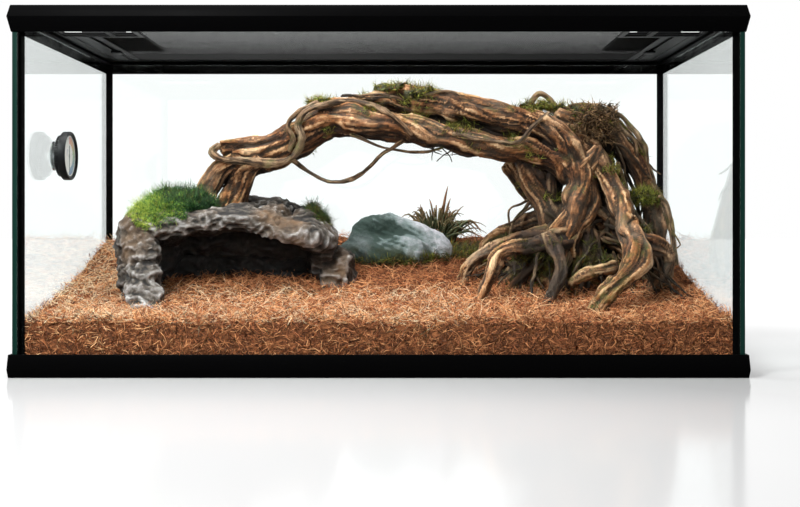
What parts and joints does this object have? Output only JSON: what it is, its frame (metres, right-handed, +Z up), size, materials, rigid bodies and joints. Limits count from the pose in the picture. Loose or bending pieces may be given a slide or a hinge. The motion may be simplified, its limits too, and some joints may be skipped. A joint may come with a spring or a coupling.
{
  "type": "reptile terrarium",
  "caption": "Framed glass reptile terrarium with a lift-out screen lid, sliding cable port shutters, a dial gauge, fibre bed, cave hide, driftwood arch, stone and plant.",
  "frame": {"origin": "centre of the bottom frame's resting face", "axes": "+Z up, -Y towards the front pane, +X to the right of someone facing the front"},
  "size_m": [0.914, 0.457, 0.459],
  "materials": {
    "frame_plastic": "satin",
    "clear_glass": "gloss",
    "silicone": "satin",
    "lid_plastic": "satin",
    "screen_metal": "satin",
    "shutter_plastic": "satin",
    "cup_rubber": "gloss",
    "gauge_plastic": "satin",
    "lens_plastic": "gloss",
    "dial_card": "matte",
    "needle_metal": "satin",
    "arbor_metal": "satin",
    "coil_metal": "satin",
    "coco_fibre": "matte",
    "grey_rock": "matte",
    "green_moss": "matte",
    "driftwood": "matte",
    "dark_vine": "matte",
    "olive_moss": "matte",
    "green_stone": "matte",
    "leaf": "satin"
  },
  "bodies": {
    "tank": {"bottom_frame": "frame_plastic", "top_rim": "frame_plastic", "base_pane": "clear_glass", "front_pane": "clear_glass", "back_pane": "clear_glass", "left_pane": "clear_glass", "right_pane": "clear_glass", "front_left_seal": "silicone", "front_right_seal": "silicone", "back_left_seal": "silicone", "back_right_seal": "silicone", "base_seal": "silicone", "gauge_suction_cup": "cup_rubber", "gauge_shell": "gauge_plastic", "gauge_bezel": "gauge_plastic", "gauge_lens": "lens_plastic", "gauge_dial": "dial_card", "gauge_coil": "coil_metal", "fibre_bed": "coco_fibre", "rock_hide": "grey_rock", "hide_moss": "green_moss", "driftwood": "driftwood", "wood_vines": "dark_vine", "wood_moss": "olive_moss", "boulder": "green_stone", "plant": "leaf"},
    "lid": {"lid_frame": "lid_plastic", "mesh_screen": "screen_metal", "screen_retainer": "lid_plastic"},
    "left_shutter": {"left_shutter": "shutter_plastic"},
    "right_shutter": {"right_shutter": "shutter_plastic"},
    "gauge_pointer": {"gauge_needle": "needle_metal", "gauge_arbor": "arbor_metal"}
  },
  "joints": [
    {"name": "lid_lift", "type": "slide", "parent": "tank", "child": "lid", "axis": [0, 0, 1], "range_m": [0, 0.2]},
    {"name": "left_shutter_slide", "type": "slide", "parent": "lid", "child": "left_shutter", "axis": [0, 1, 0], "range_m": [-0.1335, 0.085]},
    {"name": "right_shutter_slide", "type": "slide", "parent": "lid", "child": "right_shutter", "axis": [0, 1, 0], "range_m": [-0.1335, 0.085]},
    {"name": "gauge_pointer_turn", "type": "hinge", "parent": "tank", "child": "gauge_pointer", "pos_m": [-0.4269, -0.0685, 0.2803], "axis": [1, 0, 0], "range_deg": [0, 170]}
  ]
}
